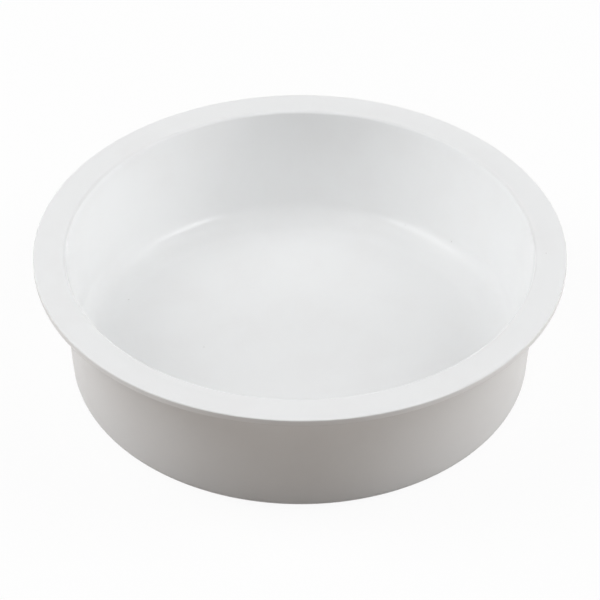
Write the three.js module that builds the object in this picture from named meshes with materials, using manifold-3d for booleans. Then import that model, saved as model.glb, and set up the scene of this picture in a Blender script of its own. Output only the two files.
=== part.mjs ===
// Round silicone cake mould with a wide flat flange, stiffened by a steel hoop inside the flange.
// Millimetres, +Z up. The origin is the centre of the underside, on the surface the mould stands on.
import * as THREE from 'three';
import { mergeVertices } from 'three/addons/utils/BufferGeometryUtils.js';
import Module from 'manifold-3d';

// Overall sizes
const rimDiameter = 250;
const flangeWidth = 15;
const mouldHeight = 66;
const wallDraftDegrees = 3.3;

// Thicknesses of the silicone
const wallThickness = 3.2;
const floorThickness = 3;
const flangeThickness = 3.4;

// Rounds and fillets
const lipRound = 1.6;
const rimEdgeRound = 0.6;
const flangeRootFillet = 1;
const heelRound = 4.4;
const floorFillet = 14;

// Steel hoop, its channel in the flange, and the holes that the locating pins of the mould tool leave
const hoopWireDiameter = 1.6;
const hoopClearance = 0.25;
const pinHoleDiameter = 2.6;
const pinHoleCount = 8;

// Facets
const turnSegments = 72;
const arcStepDegrees = 18;
const wireSides = 8;
const pinHoleSides = 12;
const cutOverrun = 1;

// Places worked out from the sizes above
const rimRadius = rimDiameter / 2;
const mouthRadius = rimRadius - flangeWidth;
const draft = THREE.MathUtils.degToRad(wallDraftDegrees);
const flangeUnderside = mouldHeight - flangeThickness;
const innerRadiusAt = (z) => mouthRadius - (mouldHeight - z) * Math.tan(draft);
const outerRadiusAt = (z) => innerRadiusAt(z) + wallThickness;
const hoopRadius = (rimRadius + outerRadiusAt(flangeUnderside)) / 2;
const hoopHeight = mouldHeight - flangeThickness / 2;
const channelRadius = hoopWireDiameter / 2 + hoopClearance;

const silicone = new THREE.MeshStandardMaterial({ color: 0xf1f1ef, roughness: 0.45, metalness: 0 });
const steel = new THREE.MeshStandardMaterial({ color: 0xb8babd, roughness: 0.35, metalness: 1 });

const wasm = await Module();
wasm.setup();

// Points of a round in the profile plane, x being the radius and y the height.
function arc(centreRadius, centreHeight, radius, startDegrees, endDegrees) {
  const steps = Math.max(2, Math.ceil(Math.abs(endDegrees - startDegrees) / arcStepDegrees));
  const points = [];
  for (let i = 0; i <= steps; i++) {
    const angle = THREE.MathUtils.degToRad(startDegrees + ((endDegrees - startDegrees) * i) / steps);
    const x = centreRadius + radius * Math.cos(angle);
    const y = centreHeight + radius * Math.sin(angle);
    points.push(new THREE.Vector2(x, y));
  }
  return points;
}

// Turns a profile about the upright axis.
function turn(points) {
  return new THREE.LatheGeometry(points, turnSegments).rotateX(Math.PI / 2);
}

// A ring of round wire, also used for the channel that it lies in.
function wireRing(wireRadius) {
  const facet = 360 / wireSides;
  const points = [];
  for (let i = 0; i <= wireSides; i++) {
    const angle = THREE.MathUtils.degToRad((i % wireSides + 0.5) * facet - 90);
    const x = hoopRadius + wireRadius * Math.cos(angle);
    const y = hoopHeight + wireRadius * Math.sin(angle);
    points.push(new THREE.Vector2(x, y));
  }
  return turn(points);
}

// Section of the mould from the centre of its underside, round the flange, to the centre of its floor.
function mouldProfile() {
  const slope = Math.cos(draft);
  const heelCentre = outerRadiusAt(heelRound) - heelRound / slope;
  const rootHeight = flangeUnderside - flangeRootFillet;
  const rootCentre = outerRadiusAt(rootHeight) + flangeRootFillet / slope;
  const edgeRound = Math.min(rimEdgeRound, flangeThickness / 2);
  const edgeCentre = rimRadius - edgeRound;
  const lipHeight = mouldHeight - lipRound;
  const lipCentre = innerRadiusAt(lipHeight) + lipRound / slope;
  const filletHeight = floorThickness + floorFillet;
  const filletCentre = innerRadiusAt(filletHeight) - floorFillet / slope;
  return [
    new THREE.Vector2(0, 0),
    ...arc(heelCentre, heelRound, heelRound, -90, -wallDraftDegrees),
    ...arc(rootCentre, rootHeight, flangeRootFillet, 180 - wallDraftDegrees, 90),
    ...arc(edgeCentre, flangeUnderside + edgeRound, edgeRound, -90, 0),
    ...arc(edgeCentre, mouldHeight - edgeRound, edgeRound, 0, 90),
    ...arc(lipCentre, lipHeight, lipRound, 90, 180 - wallDraftDegrees),
    ...arc(filletCentre, filletHeight, floorFillet, -wallDraftDegrees, -90),
    new THREE.Vector2(0, floorThickness),
  ];
}

// Blind holes in the flange's underside, up to the middle of the hoop.
function pinHoles() {
  const depth = hoopHeight - flangeUnderside + cutOverrun;
  const holes = [];
  for (let i = 0; i < pinHoleCount; i++) {
    const angle = ((i + 0.5) * 2 * Math.PI) / pinHoleCount;
    const hole = new THREE.CylinderGeometry(pinHoleDiameter / 2, pinHoleDiameter / 2, depth, pinHoleSides);
    hole.rotateX(Math.PI / 2);
    hole.translate(hoopRadius * Math.cos(angle), hoopRadius * Math.sin(angle), hoopHeight - depth / 2);
    holes.push(hole);
  }
  return holes;
}

// Closed triangle mesh to solid, leaving out the triangles that shrink to a line on the axis.
function toSolid(geometry) {
  const bare = geometry.clone();
  bare.deleteAttribute('normal');
  bare.deleteAttribute('uv');
  const merged = mergeVertices(bare);
  const triVerts = [];
  for (let i = 0; i < merged.index.count; i += 3) {
    const corners = [0, 1, 2].map((k) => merged.index.getX(i + k));
    if (new Set(corners).size === 3) triVerts.push(...corners);
  }
  const vertProperties = new Float32Array(merged.attributes.position.array);
  return new wasm.Manifold(new wasm.Mesh({ numProp: 3, vertProperties, triVerts: new Uint32Array(triVerts) }));
}

function toGeometry(solid) {
  const { vertProperties, triVerts } = solid.getMesh();
  const geometry = new THREE.BufferGeometry();
  geometry.setAttribute('position', new THREE.BufferAttribute(new Float32Array(vertProperties), 3));
  geometry.setIndex(new THREE.BufferAttribute(new Uint32Array(triVerts), 1));
  geometry.computeVertexNormals();
  return geometry;
}

function makeMouldBody() {
  const cuts = [wireRing(channelRadius), ...pinHoles()];
  const solid = cuts.reduce((body, cut) => body.subtract(toSolid(cut)), toSolid(turn(mouldProfile())));
  const mesh = new THREE.Mesh(toGeometry(solid), silicone);
  mesh.name = 'mould_body';
  return mesh;
}

function makeRimHoop() {
  const mesh = new THREE.Mesh(wireRing(hoopWireDiameter / 2), steel);
  mesh.name = 'rim_hoop';
  return mesh;
}

const mould = new THREE.Group();
mould.add(makeMouldBody(), makeRimHoop());

export default mould;
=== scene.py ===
# White silicone baking mould: its looks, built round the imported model. Metres, +Z up.
import math
import bmesh
import bpy
from mathutils import Matrix, Vector


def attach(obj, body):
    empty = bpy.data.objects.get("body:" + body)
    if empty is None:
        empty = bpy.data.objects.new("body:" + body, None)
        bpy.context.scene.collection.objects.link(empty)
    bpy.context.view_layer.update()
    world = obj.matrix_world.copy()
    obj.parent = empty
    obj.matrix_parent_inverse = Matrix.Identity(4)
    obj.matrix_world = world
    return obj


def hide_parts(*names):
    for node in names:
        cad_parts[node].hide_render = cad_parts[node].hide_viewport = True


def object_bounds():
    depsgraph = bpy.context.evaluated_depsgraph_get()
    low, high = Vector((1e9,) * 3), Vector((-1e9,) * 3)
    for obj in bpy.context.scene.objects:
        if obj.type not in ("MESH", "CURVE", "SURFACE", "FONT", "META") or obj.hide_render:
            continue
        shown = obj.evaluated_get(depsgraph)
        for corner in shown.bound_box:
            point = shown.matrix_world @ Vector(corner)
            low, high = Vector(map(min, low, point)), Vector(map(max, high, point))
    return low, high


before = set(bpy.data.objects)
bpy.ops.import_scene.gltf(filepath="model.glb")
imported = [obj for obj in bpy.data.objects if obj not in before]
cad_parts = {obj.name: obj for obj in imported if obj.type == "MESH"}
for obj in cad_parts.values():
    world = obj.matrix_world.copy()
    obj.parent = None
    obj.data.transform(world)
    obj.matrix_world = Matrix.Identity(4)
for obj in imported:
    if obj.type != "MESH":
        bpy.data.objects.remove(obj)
cadLow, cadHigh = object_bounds()
scene = bpy.context.scene
print("frame loaded:", ", ".join(sorted(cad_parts)))


class Wire:
    # a node socket that takes part in Python expressions
    def __init__(self, tree, socket=None):
        self.tree = tree
        self.socket = socket

    def node(self, kind, settings=None, inputs=None, out=0):
        made = self.tree.nodes.new(kind)
        for name, value in (settings or {}).items():
            setattr(made, name, value)
        for name, value in (inputs or {}).items():
            self.feed(made.inputs[name], value)
        return Wire(self.tree, made.outputs[out])

    def feed(self, target, value):
        for item in value if isinstance(value, list) else [value]:
            if isinstance(item, Wire):
                self.tree.links.new(item.socket, target)
            else:
                target.default_value = item

    def math(self, operation, *others):
        values = dict(enumerate((self, *others)))
        return self.node("ShaderNodeMath", {"operation": operation}, values)

    def parts(self):
        split = self.node("ShaderNodeSeparateXYZ", inputs={0: self}).socket.node
        return [Wire(self.tree, socket) for socket in split.outputs]

    def __add__(self, other):
        return self.math("ADD", other)

    def __radd__(self, other):
        return self.math("ADD", other)

    def __sub__(self, other):
        return self.math("SUBTRACT", other)

    def __mul__(self, other):
        return self.math("MULTIPLY", other)

    def __truediv__(self, other):
        return self.math("DIVIDE", other)

    def __rtruediv__(self, other):
        return self.node("ShaderNodeMath", {"operation": "DIVIDE"}, {0: other, 1: self})

    def __neg__(self):
        return self.math("MULTIPLY", -1.0)


# Geometry Nodes trees and the pieces they make

def newTree(name, sizes):
    tree = bpy.data.node_groups.new(name, "GeometryNodeTree")
    tree.interface.new_socket("Geometry", in_out="OUTPUT", socket_type="NodeSocketGeometry")
    tree.interface.new_socket("Geometry", in_out="INPUT", socket_type="NodeSocketGeometry")
    for label, value in sizes.items():
        kind = "NodeSocketInt" if isinstance(value, int) else "NodeSocketFloat"
        tree.interface.new_socket(label, in_out="INPUT", socket_type=kind)
    entry = tree.nodes.new("NodeGroupInput")
    return tree, {socket.name: Wire(tree, socket) for socket in entry.outputs if socket.name}


def closeTree(geometry, material):
    whole = geometry.node("GeometryNodeRealizeInstances", inputs={"Geometry": geometry})
    dressed = whole.node("GeometryNodeSetMaterial", inputs={"Geometry": whole, "Material": material})
    end = geometry.tree.nodes.new("NodeGroupOutput")
    geometry.tree.links.new(dressed.socket, end.inputs[0])


def makePiece(name, startMesh, tree, sizes):
    start = bpy.data.objects.new(name + "Start", startMesh)
    scene.collection.objects.link(start)
    modifier = start.modifiers.new(tree.name, "NODES")
    modifier.node_group = tree
    for item in tree.interface.items_tree:
        if item.in_out == "INPUT" and item.name in sizes:
            modifier[item.identifier] = sizes[item.name]
    graph = bpy.context.evaluated_depsgraph_get()
    mesh = bpy.data.meshes.new_from_object(start.evaluated_get(graph), depsgraph=graph)
    start.modifiers.remove(modifier)
    bpy.data.objects.remove(start)
    turnOutwards(mesh)
    mesh.name = name
    piece = bpy.data.objects.new(name, mesh)
    scene.collection.objects.link(piece)
    print("made", name, "with", len(mesh.polygons), "faces")
    return piece


def turnOutwards(mesh):
    work = bmesh.new()
    work.from_mesh(mesh)
    bmesh.ops.recalc_face_normals(work, faces=work.faces)
    work.to_mesh(mesh)
    work.free()


# Silicone shell: a section turned about the upright axis

shell = {
    "rimRadius": (cadHigh.x - cadLow.x) / 2,
    "height": cadHigh.z,
    "flangeWidth": 0.015,
    "flangeThickness": 0.0034,
    "wallThickness": 0.0032,
    "floorThickness": 0.003,
    "wallDraft": math.radians(3.3),
    "heelRound": 0.0044,
    "flangeRootFillet": 0.001,
    "rimEdgeRound": 0.0006,
    "lipRound": 0.0016,
    "floorFillet": 0.014,
    "seamJoin": 1e-6,  # points closer than this become one
    "sharpAngle": math.radians(38),  # edges bent more than this stay sharp
}
hoop = {
    "wireRadius": 0.0008,
    "clearance": 0.00025,
    "weldSwell": 0.08,
    "weldLength": 0.0012,
}
softness = {  # how far the soft rim strays from a true circle and a flat ring
    "Oval": 0.00015,
    "Trefoil": 0.00018,
    "Rim Wave": 0.00012,
}
waves = {  # how many waves go round the rim, and their phase
    "Oval": (2.0, math.radians(-55)),
    "Trefoil": (3.0, math.radians(-155)),
    "Rim Wave": (4.0, math.radians(100)),
}
waveReach = 0.012  # how far in from the hoop the flange's wave dies out


def innerRadiusAt(z):
    mouthRadius = shell["rimRadius"] - shell["flangeWidth"]
    return mouthRadius - (shell["height"] - z) * math.tan(shell["wallDraft"])


def outerRadiusAt(z):
    return innerRadiusAt(z) + shell["wallThickness"]


flangeUnderside = shell["height"] - shell["flangeThickness"]
hoopRadius = (shell["rimRadius"] + outerRadiusAt(flangeUnderside)) / 2
hoopHeight = shell["height"] - shell["flangeThickness"] / 2


def sectionMesh():
    corners = [  # radius, height, round
        (0, 0, 0),
        (outerRadiusAt(0), 0, shell["heelRound"]),
        (outerRadiusAt(flangeUnderside), flangeUnderside, shell["flangeRootFillet"]),
        (shell["rimRadius"], flangeUnderside, shell["rimEdgeRound"]),
        (shell["rimRadius"], shell["height"], shell["rimEdgeRound"]),
        (innerRadiusAt(shell["height"]), shell["height"], shell["lipRound"]),
        (innerRadiusAt(shell["floorThickness"]), shell["floorThickness"], shell["floorFillet"]),
        (0, shell["floorThickness"], 0),
    ]
    mesh = bpy.data.meshes.new("shellSection")
    points = [(radius, 0, height) for radius, height, _ in corners]
    edges = [(i, i + 1) for i in range(len(corners) - 1)]
    mesh.from_pydata(points, edges, [])
    rounds = mesh.attributes.new("round", "FLOAT", "POINT")
    rounds.data.foreach_set("value", [corner[2] for corner in corners])
    return mesh


def turnSection(section, size):
    # one column of the section's points for each step round the axis
    place = section.node("GeometryNodeInputPosition")
    count = section.node(
        "GeometryNodeAttributeDomainSize", {"component": "CURVE"}, {"Geometry": section}, "Point Count"
    )
    columns = size["Turn Steps"] + 1
    sheet = section.node(
        "GeometryNodeMeshGrid",
        inputs={"Size X": 1.0, "Size Y": 1.0, "Vertices X": columns, "Vertices Y": count},
    )
    across, along, _ = place.parts()
    row = ((along + 0.5) * (count - 1)).math("ROUND")
    onSection = section.node(
        "GeometryNodeSampleIndex",
        {"data_type": "FLOAT_VECTOR", "domain": "POINT"},
        {"Geometry": section, "Value": place, "Index": row},
    )
    radius, _, height = onSection.parts()
    angle = (across + 0.5) * (2 * math.pi)
    turned = section.node(
        "ShaderNodeCombineXYZ",
        inputs={"X": radius * angle.math("COSINE"), "Y": radius * angle.math("SINE"), "Z": height},
    )
    wrapped = section.node("GeometryNodeSetPosition", inputs={"Geometry": sheet, "Position": turned})
    joined = {"Geometry": wrapped, "Distance": shell["seamJoin"]}
    return section.node("GeometryNodeMergeByDistance", inputs=joined)


def wireRing(pen, size, radiusLabel, swell=None):
    path = pen.node(
        "GeometryNodeCurvePrimitiveCircle",
        {"mode": "RADIUS"},
        {"Resolution": size["Turn Steps"], "Radius": size["Hoop Radius"]},
    )
    if swell:
        path = pen.node("GeometryNodeSetCurveRadius", inputs={"Curve": path, "Radius": swell})
    outline = pen.node(
        "GeometryNodeCurvePrimitiveCircle",
        {"mode": "RADIUS"},
        {"Resolution": size["Wire Sides"], "Radius": size[radiusLabel]},
    )
    ring = pen.node("GeometryNodeCurveToMesh", inputs={"Curve": path, "Profile Curve": outline})
    lift = pen.node("ShaderNodeCombineXYZ", inputs={"Z": size["Hoop Height"]})
    return pen.node("GeometryNodeTransform", inputs={"Geometry": ring, "Translation": lift})


def pinHoles(pen, size):
    # blind holes left by the pins that hold the hoop while the silicone sets
    posts = pen.node(
        "GeometryNodeMeshCircle", inputs={"Vertices": size["Pin Count"], "Radius": size["Hoop Radius"]}
    )
    depth = size["Flange Thickness"]
    lift = pen.node("ShaderNodeCombineXYZ", inputs={"Z": size["Hoop Height"] - depth / 2})
    turn = pen.node("ShaderNodeCombineXYZ", inputs={"Z": math.pi / size["Pin Count"]})
    posts = pen.node(
        "GeometryNodeTransform", inputs={"Geometry": posts, "Translation": lift, "Rotation": turn}
    )
    pin = pen.node(
        "GeometryNodeMeshCylinder",
        inputs={"Vertices": size["Pin Sides"], "Radius": size["Pin Radius"], "Depth": depth},
    )
    pins = pen.node("GeometryNodeInstanceOnPoints", inputs={"Points": posts, "Instance": pin})
    return pen.node("GeometryNodeRealizeInstances", inputs={"Geometry": pins})


def strayFromRound(geometry, size):
    # the shell is soft, so its rim is a little oval and its flange a little wavy
    x, y, z = geometry.node("GeometryNodeInputPosition").parts()
    angle = y.math("ARCTAN2", x)
    lift = (z / shell["height"]).math("POWER", 2.0)

    def wave(label):
        count, phase = waves[label]
        return (angle * count + phase).math("SINE") * size[label]

    swell = lift * (wave("Oval") + wave("Trefoil"))
    fromAxis = (x * x + y * y).math("SQRT")
    rimShare = geometry.node(
        "ShaderNodeMapRange",
        {"interpolation_type": "SMOOTHSTEP"},
        {"Value": fromAxis, "From Min": hoopRadius - waveReach, "From Max": hoopRadius},
    )
    offset = geometry.node(
        "ShaderNodeCombineXYZ",
        inputs={
            "X": swell * angle.math("COSINE"),
            "Y": swell * angle.math("SINE"),
            "Z": lift * rimShare * wave("Rim Wave"),
        },
    )
    return geometry.node("GeometryNodeSetPosition", inputs={"Geometry": geometry, "Offset": offset})


def shadeSmooth(geometry):
    smooth = geometry.node("GeometryNodeSetShadeSmooth", {"domain": "FACE"}, {"Geometry": geometry})
    bend = geometry.node("GeometryNodeInputMeshEdgeAngle")
    sharp = bend.math("GREATER_THAN", shell["sharpAngle"])
    return geometry.node(
        "GeometryNodeSetShadeSmooth",
        {"domain": "EDGE"},
        {"Geometry": smooth, "Selection": sharp, "Shade Smooth": False},
    )


shellSizes = {
    "Turn Steps": 288,
    "Round Steps": 14,
    "Row Step": 0.003,
    "Wire Sides": 20,
    "Hoop Radius": hoopRadius,
    "Hoop Height": hoopHeight,
    "Channel Radius": hoop["wireRadius"] + hoop["clearance"],
    "Flange Thickness": shell["flangeThickness"],
    "Pin Count": 8,
    "Pin Sides": 28,
    "Pin Radius": 0.0013,
    **softness,
}


def makeShell(material):
    tree, size = newTree("turnedShell", shellSizes)
    pen = size["Geometry"]
    corners = pen.node("GeometryNodeMeshToCurve", inputs={"Mesh": pen})
    rounds = pen.node("GeometryNodeInputNamedAttribute", {"data_type": "FLOAT"}, {"Name": "round"})
    rounded = pen.node(
        "GeometryNodeFilletCurve",
        {"mode": "POLY"},
        {"Curve": corners, "Count": size["Round Steps"], "Radius": rounds},
    )
    place = pen.node("GeometryNodeInputPosition")
    following = pen.node(
        "GeometryNodeFieldAtIndex",
        {"data_type": "FLOAT_VECTOR", "domain": "POINT"},
        {"Index": pen.node("GeometryNodeInputIndex") + 1, "Value": place},
    )
    ends = {0: place, 1: following}
    span = pen.node("ShaderNodeVectorMath", {"operation": "DISTANCE"}, ends, "Value")
    cuts = (span / size["Row Step"]).math("FLOOR")
    section = pen.node("GeometryNodeSubdivideCurve", inputs={"Curve": rounded, "Cuts": cuts})
    solid = turnSection(section, size)
    hollow = pen.node(
        "GeometryNodeMeshBoolean",
        {"operation": "DIFFERENCE", "solver": "MANIFOLD"},
        {0: solid, 1: [wireRing(pen, size, "Channel Radius"), pinHoles(pen, size)]},
    )
    closeTree(shadeSmooth(strayFromRound(hollow, size)), material)
    return makePiece("siliconeShell", sectionMesh(), tree, shellSizes)


# Steel hoop inside the flange

hoopSizes = {
    "Turn Steps": 288,
    "Wire Sides": 20,
    "Hoop Radius": hoopRadius,
    "Hoop Height": hoopHeight,
    "Wire Radius": hoop["wireRadius"],
    "Weld Swell": hoop["weldSwell"],
    "Weld Length": hoop["weldLength"],
    **softness,
}


def makeHoop(material):
    tree, size = newTree("wireHoop", hoopSizes)
    pen = size["Geometry"]
    x, y, _ = pen.node("GeometryNodeInputPosition").parts()
    fromWeld = y.math("ARCTAN2", x) * size["Hoop Radius"] / size["Weld Length"]
    swell = 1 + size["Weld Swell"] * (-fromWeld * fromWeld).math("EXPONENT")
    ring = wireRing(pen, size, "Wire Radius", swell)
    closeTree(shadeSmooth(strayFromRound(ring, size)), material)
    return makePiece("hoopWire", bpy.data.meshes.new("hoopStart"), tree, hoopSizes)


# Finishes

def newFinish(name):
    material = bpy.data.materials.new(name)
    material.use_nodes = True
    shader = material.node_tree.nodes["Principled BSDF"]
    return material, shader, Wire(material.node_tree)


def noise(pen, coords, scale, detail=2.0, roughness=0.5):
    inputs = {"Vector": coords, "Scale": scale, "Detail": detail, "Roughness": roughness}
    return pen.node("ShaderNodeTexNoise", inputs=inputs, out="Fac")


def mixColor(pen, factor, first, second):
    sockets = {0: factor, 6: first, 7: second}  # by number, because the node repeats its names
    return pen.node("ShaderNodeMix", {"data_type": "RGBA"}, sockets, 2)


silicone = {
    "white": (0.965, 0.972, 0.975, 1),
    "shade": (0.954, 0.957, 0.959, 1),
    "cloudScale": 42.0,
    "cloudDetail": 3.0,
    "cloudStart": 0.46,
    "cloudContrast": 4.0,
    "dust": (0.62, 0.61, 0.59, 1),
    "speckScale": 130.0,
    "speckRarity": 0.93,  # share of the cells without a speck
    "speckSize": 0.05,
    "speckStrength": 0.5,
    "roughness": 0.24,
    "smudgeScale": 60.0,
    "smudgeDetail": 4.0,
    "smudgeRoughness": 0.6,
    "smudgeSpread": 0.08,  # how far the smudges change the roughness
    "grainScale": 1400.0,
    "grainDepth": 0.00002,
    "refraction": 1.41,
}


def siliconeFinish():
    material, shader, pen = newFinish("whiteSilicone")
    coords = pen.node("ShaderNodeTexCoord", out="Object")
    mottling = noise(pen, coords, silicone["cloudScale"], silicone["cloudDetail"])
    clouds = (mottling - silicone["cloudStart"]) * silicone["cloudContrast"]
    clouds = clouds.math("MAXIMUM", 0.0).math("MINIMUM", 1.0)
    grain = noise(pen, coords, silicone["grainScale"])
    smudges = noise(
        pen, coords, silicone["smudgeScale"], silicone["smudgeDetail"], silicone["smudgeRoughness"]
    )
    color = mixColor(pen, clouds, silicone["white"], silicone["shade"])
    cells = {"Vector": coords, "Scale": silicone["speckScale"]}
    fromCentre = pen.node("ShaderNodeTexVoronoi", {"feature": "F1"}, cells, "Distance")
    owner = pen.node("ShaderNodeTexVoronoi", {"feature": "F1"}, cells, "Color")
    rare = owner.parts()[0].math("GREATER_THAN", silicone["speckRarity"])
    speck = fromCentre.math("LESS_THAN", silicone["speckSize"]) * rare * silicone["speckStrength"]
    pen.feed(shader.inputs["Base Color"], mixColor(pen, speck, color, silicone["dust"]))
    gloss = silicone["roughness"] + (smudges - 0.5) * silicone["smudgeSpread"]
    pen.feed(shader.inputs["Roughness"], gloss)
    relief = {"Height": grain, "Distance": silicone["grainDepth"], "Strength": 1.0}
    pen.feed(shader.inputs["Normal"], pen.node("ShaderNodeBump", inputs=relief))
    shader.inputs["IOR"].default_value = silicone["refraction"]
    return material


steel = {
    "color": (0.42, 0.43, 0.45, 1),
    "bright": (0.56, 0.57, 0.58, 1),
    "lineScale": 9000.0,
    "roughness": 0.24,
    "lineSpread": 0.2,  # how far the drawn lines change the roughness
}


def steelFinish():
    material, shader, pen = newFinish("drawnSteel")
    x, y, z = pen.node("ShaderNodeTexCoord", out="Object").parts()
    across = pen.node("ShaderNodeCombineXYZ", inputs={"X": (x * x + y * y).math("SQRT"), "Z": z})
    lines = noise(pen, across, steel["lineScale"])
    pen.feed(shader.inputs["Base Color"], mixColor(pen, lines, steel["color"], steel["bright"]))
    pen.feed(shader.inputs["Roughness"], steel["roughness"] + lines * steel["lineSpread"])
    shader.inputs["Metallic"].default_value = 1.0
    return material


# Floor, light and camera

floorSettings = {
    "radius": 9.0,
    "segments": 96,
    "bounce": (0.405, 0.35, 0.306, 1),  # what the mould gets back from it
    "paintedShadeBounce": (0.25, 0.214, 0.187, 1),  # painted shadow: the same colour made darker close to the base, standing in for the floor lying in the mould's shade
    "paintedShadeRange": (0.11, 0.17),
    "paper": (0.95, 0.95, 0.95, 1),  # what is seen of it
    "whiteShare": 0.93,
    "shine": 0.8,  # how white it is in reflections
}
worldSettings = {
    "color": (1.0, 1.0, 1.0, 1),
    "strength": 0.043,
    "backdrop": (1.0, 1.0, 1.0, 1),  # what the camera sees behind the floor
}
boxes = {  # shine in the silicone and give it no other light; azimuth from +X towards +Y, in degrees
    "rightBox": {"azimuth": -29, "elevation": 21, "distance": 1.6, "size": (1.0, 0.32), "power": 8.0},
    "leftBox": {"azimuth": 204, "elevation": 25, "distance": 1.6, "size": (1.2, 0.46), "power": 7.8},
    "frontBox": {"azimuth": 272, "elevation": 58, "distance": 1.6, "size": (2.0, 2.2), "power": 19.0},
}
fills = {  # broad light that shows in no reflection
    "rightLow": {"azimuth": 4, "elevation": 15, "distance": 1.6, "size": (0.6, 0.8), "power": 7.8},
    "leftLow": {"azimuth": 168, "elevation": 15, "distance": 1.6, "size": (0.6, 0.8), "power": 6.4},
    "rightUpper": {"azimuth": 0, "elevation": 45, "distance": 1.6, "size": (0.9, 0.8), "power": 7.9},
    "leftUpper": {"azimuth": 180, "elevation": 45, "distance": 1.6, "size": (0.9, 0.8), "power": 8.4},
    "rightHigh": {"azimuth": 0, "elevation": 65, "distance": 1.6, "size": (0.7, 0.8), "power": 1.25},
    "leftHigh": {"azimuth": 180, "elevation": 65, "distance": 1.6, "size": (0.7, 0.8), "power": 2.9},
    "frontLow": {"azimuth": 270, "elevation": 30, "distance": 1.7, "size": (1.0, 0.6), "power": 3.6},
    "frontHigh": {"azimuth": 270, "elevation": 80, "distance": 1.7, "size": (1.2, 0.5), "power": 1.0},
    "backLow": {"azimuth": 90, "elevation": 20, "distance": 1.7, "size": (1.6, 0.7), "power": 5.6},
}
cameraSettings = {
    "elevation": math.radians(37.399),
    "distance": 1.17839,
    "aimBelowRim": math.radians(1.2623),
    "roll": math.radians(-0.1954),
    "lens": 150.62,
}


def seenRays(pen):
    rays = pen.node("ShaderNodeLightPath").socket.node.outputs
    camera = Wire(pen.tree, rays["Is Camera Ray"])
    glossy = Wire(pen.tree, rays["Is Glossy Ray"])
    through = Wire(pen.tree, rays["Is Transmission Ray"])
    return camera.math("MAXIMUM", (glossy * floorSettings["shine"]).math("MAXIMUM", through))


def makeFloor():
    mesh = bpy.data.meshes.new("floor")
    work = bmesh.new()
    bmesh.ops.create_circle(
        work, cap_ends=True, segments=floorSettings["segments"], radius=floorSettings["radius"]
    )
    work.to_mesh(mesh)
    work.free()
    floor = bpy.data.objects.new("floor", mesh)
    scene.collection.objects.link(floor)
    material = bpy.data.materials.new("paleFloor")
    material.use_nodes = True
    tree = material.node_tree
    tree.nodes.clear()
    pen = Wire(tree)
    x, y, _ = pen.node("ShaderNodeTexCoord", out="Object").parts()
    # painted shadow: within this distance of the axis the floor's bounce colour turns darker, standing
    # in for the mould's shade on it
    paintedShadeInner, paintedShadeOuter = floorSettings["paintedShadeRange"]
    span = {"Value": (x * x + y * y).math("SQRT"), "From Min": paintedShadeInner, "From Max": paintedShadeOuter}
    clear = pen.node("ShaderNodeMapRange", {"interpolation_type": "SMOOTHSTEP"}, span)
    paintedShadeDiffuse = pen.node("ShaderNodeBsdfDiffuse", inputs={"Color": floorSettings["paintedShadeBounce"]})
    bare = pen.node("ShaderNodeBsdfDiffuse", inputs={"Color": floorSettings["bounce"]})
    bounce = pen.node("ShaderNodeMixShader", inputs={0: clear, 1: paintedShadeDiffuse, 2: bare})
    paper = pen.node("ShaderNodeBsdfDiffuse", inputs={"Color": floorSettings["paper"]})
    white = pen.node("ShaderNodeEmission", inputs={"Strength": 1.0})
    seen = pen.node("ShaderNodeMixShader", inputs={0: floorSettings["whiteShare"], 1: paper, 2: white})
    surface = pen.node("ShaderNodeMixShader", inputs={0: seenRays(pen), 1: bounce, 2: seen})
    end = tree.nodes.new("ShaderNodeOutputMaterial")
    pen.feed(end.inputs["Surface"], surface)
    mesh.materials.append(material)


def makeWorld():
    world = bpy.data.worlds.new("studio")
    world.use_nodes = True
    tree = world.node_tree
    tree.nodes.clear()
    pen = Wire(tree)
    soft = pen.node(
        "ShaderNodeBackground",
        inputs={"Color": worldSettings["color"], "Strength": worldSettings["strength"]},
    )
    backdrop = {"Color": worldSettings["backdrop"], "Strength": 1.0}
    white = pen.node("ShaderNodeBackground", inputs=backdrop)
    camera = pen.node("ShaderNodeLightPath", out="Is Camera Ray")
    surface = pen.node("ShaderNodeMixShader", inputs={0: camera, 1: soft, 2: white})
    end = tree.nodes.new("ShaderNodeOutputWorld")
    pen.feed(end.inputs["Surface"], surface)
    scene.world = world


def makeLamps():
    aim = Vector((0, 0, shell["height"] / 2))
    for name, lamp in (boxes | fills).items():
        data = bpy.data.lights.new(name, "AREA")
        data.shape = "RECTANGLE"
        data.size, data.size_y = lamp["size"]
        data.energy = lamp["power"]
        light = bpy.data.objects.new(name, data)
        turn = math.radians(lamp["azimuth"])
        rise = math.radians(lamp["elevation"])
        level = math.cos(rise)
        away = Vector((math.cos(turn) * level, math.sin(turn) * level, math.sin(rise)))
        light.location = aim + away * lamp["distance"]
        light.rotation_euler = away.to_track_quat("Z", "Y").to_euler()
        light.visible_glossy = name in boxes
        light.visible_diffuse = name in fills
        scene.collection.objects.link(light)


def makeCamera():
    data = bpy.data.cameras.new("photoCamera")
    data.lens = cameraSettings["lens"]
    camera = bpy.data.objects.new("photoCamera", data)
    rise = cameraSettings["elevation"]
    rimCentre = Vector((0, 0, shell["height"]))
    away = Vector((0, -math.cos(rise), math.sin(rise)))
    camera.location = rimCentre + cameraSettings["distance"] * away
    tilt = Matrix.Rotation(math.pi / 2 - rise - cameraSettings["aimBelowRim"], 3, "X")
    camera.rotation_euler = (tilt @ Matrix.Rotation(-cameraSettings["roll"], 3, "Z")).to_euler()
    scene.collection.objects.link(camera)
    scene.camera = camera


makeCamera()
makeFloor()
makeWorld()
makeLamps()
scene.view_settings.view_transform = "Standard"
print("stage, light and camera ready")

shellPiece = makeShell(siliconeFinish())
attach(shellPiece, "root")
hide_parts("mould_body")

hoopPiece = makeHoop(steelFinish())
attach(hoopPiece, "root")
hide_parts("rim_hoop")
